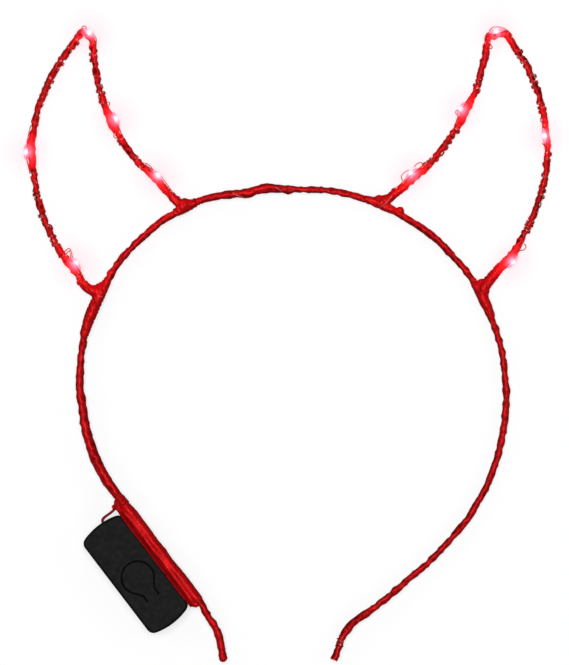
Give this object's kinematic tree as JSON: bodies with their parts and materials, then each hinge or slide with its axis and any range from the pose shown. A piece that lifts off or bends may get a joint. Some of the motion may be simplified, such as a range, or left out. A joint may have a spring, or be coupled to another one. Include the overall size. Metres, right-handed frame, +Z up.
{
  "type": "devil horns headband",
  "caption": "Costume headband: an open hoop of ribbon-wrapped wire with two curved wire horns, small lights along them, and a black battery pack with a push button at one end.",
  "frame": {"origin": "on the surface it lies on, under the middle of its outer box", "axes": "seen from the front: +X to the right, +Y from the hoop's open ends to the horn tips, +Z up from the surface, out of the front"},
  "size_m": [0.1792, 0.2158, 0.0092],
  "materials": {
    "red_ribbon": "satin ribbon, wound",
    "lit_epoxy": "clear epoxy drop, lit from inside",
    "black_plastic": "fine matte",
    "red_enamel": "enamelled wire"
  },
  "bodies": {
    "headband": {"band": "red_ribbon", "horn_left": "red_ribbon", "horn_right": "red_ribbon", "joint_left_inner": "red_ribbon", "joint_left_outer": "red_ribbon", "joint_right_inner": "red_ribbon", "joint_right_outer": "red_ribbon", "led_left_inner_lower": "lit_epoxy", "led_left_inner_upper": "lit_epoxy", "led_left_outer_lower": "lit_epoxy", "led_left_outer_upper": "lit_epoxy", "led_left_tip": "lit_epoxy", "led_right_inner_lower": "lit_epoxy", "led_right_inner_upper": "lit_epoxy", "led_right_outer_lower": "lit_epoxy", "led_right_outer_upper": "lit_epoxy", "led_right_tip": "lit_epoxy", "battery_case": "black_plastic", "pack_wrap": "red_ribbon", "lead_wire": "red_enamel"},
    "button": {"push_button": "black_plastic"}
  },
  "joints": [
    {"name": "button_press", "type": "hinge", "parent": "headband", "child": "button", "pos_m": [-0.04573, -0.08533, 0.0086], "axis": [-0.7952, -0.6063, 0], "range_deg": [0, 2.4], "stiffness_Nm_per_rad": 0.1}
  ]
}
